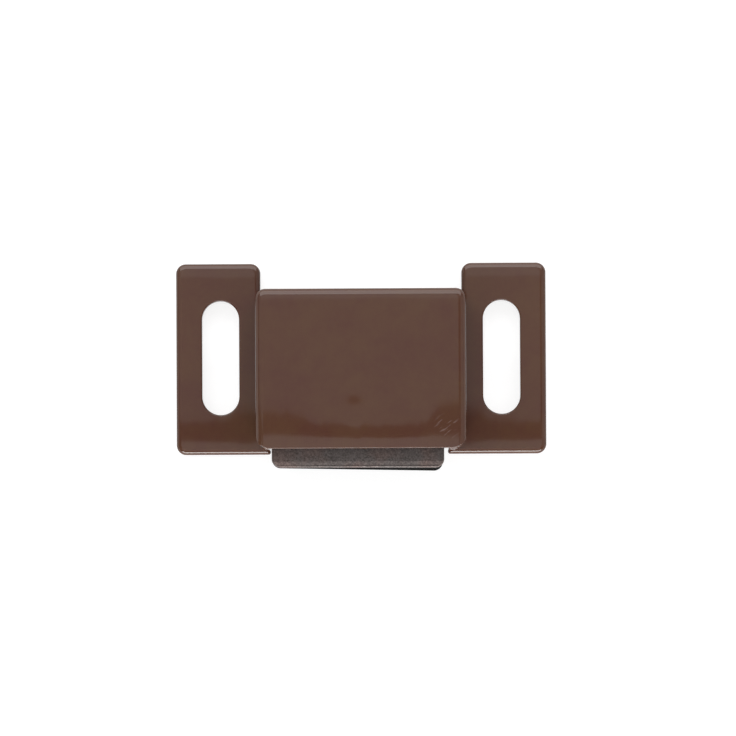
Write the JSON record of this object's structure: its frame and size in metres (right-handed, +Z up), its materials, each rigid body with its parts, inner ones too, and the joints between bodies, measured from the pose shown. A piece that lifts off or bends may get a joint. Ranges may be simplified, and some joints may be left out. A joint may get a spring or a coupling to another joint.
{
  "type": "magnetic catch",
  "caption": "Surface-mounted magnetic cabinet catch: slotted plastic ears beside a raised box that holds a floating magnet between steel pole plates.",
  "frame": {"origin": "on the mounting face, midway between the two screw slots", "axes": "+X along the length through both ears, -Y to the front where the magnet pack stands out, +Z up from the mounting face to the box's roof"},
  "size_m": [0.0476, 0.0267, 0.0127],
  "materials": {
    "housing_plastic": "gloss",
    "ferrite": "matte",
    "plate_steel": "satin"
  },
  "bodies": {
    "housing": {"housing": "housing_plastic"},
    "magnet": {"magnet": "ferrite"},
    "upper_plate": {"upper_pole_plate": "plate_steel"},
    "lower_plate": {"lower_pole_plate": "plate_steel"}
  },
  "joints": [
    {"name": "pack_float", "type": "slide", "parent": "housing", "child": "magnet", "axis": [0, -1, 0], "range_m": [-0.0016, 0.0003]},
    {"name": "upper_plate_swivel", "type": "hinge", "parent": "magnet", "child": "upper_plate", "pos_m": [-0.00038, -0.0046, 0.0092], "axis": [0, 0, 1], "range_deg": [-1.75, 2.25]},
    {"name": "lower_plate_swivel", "type": "hinge", "parent": "magnet", "child": "lower_plate", "pos_m": [-0.00038, -0.00486, 0.0032], "axis": [0, 0, 1], "range_deg": [-0.87, 3.13]}
  ]
}
